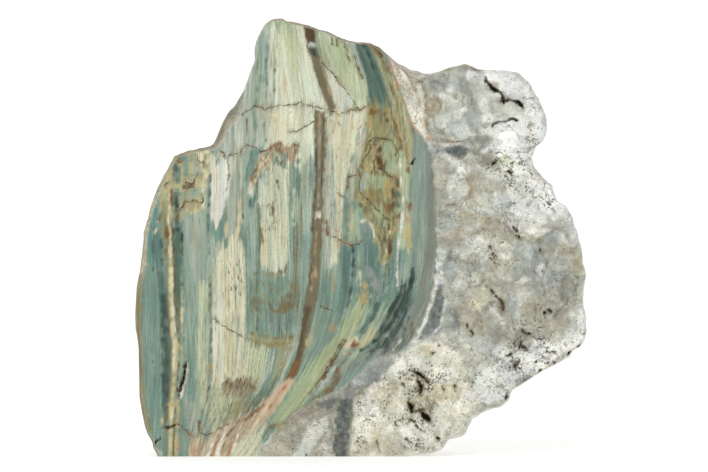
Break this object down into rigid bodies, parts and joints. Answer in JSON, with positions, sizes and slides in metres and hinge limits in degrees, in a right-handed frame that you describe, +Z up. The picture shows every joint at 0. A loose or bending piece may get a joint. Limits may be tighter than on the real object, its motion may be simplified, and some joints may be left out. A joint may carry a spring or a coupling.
{
  "type": "petrified bog wood",
  "caption": "Upright piece of petrified bog wood with grey chalcedony grown on one side, sawn and polished in front, rough natural skin behind, sawn flat below so that it stands",
  "frame": {"origin": "middle of the bounding box at the level of the sawn base", "axes": "+Z up, +X to the right seen from in front, the polished face looks to -Y"},
  "size_m": [0.1722, 0.0572, 0.1665],
  "materials": {
    "petrified_wood": "polished petrified wood in front, rough natural skin behind"
  },
  "bodies": {
    "root": {"petrified_bog_wood": "petrified_wood"}
  },
  "joints": []
}
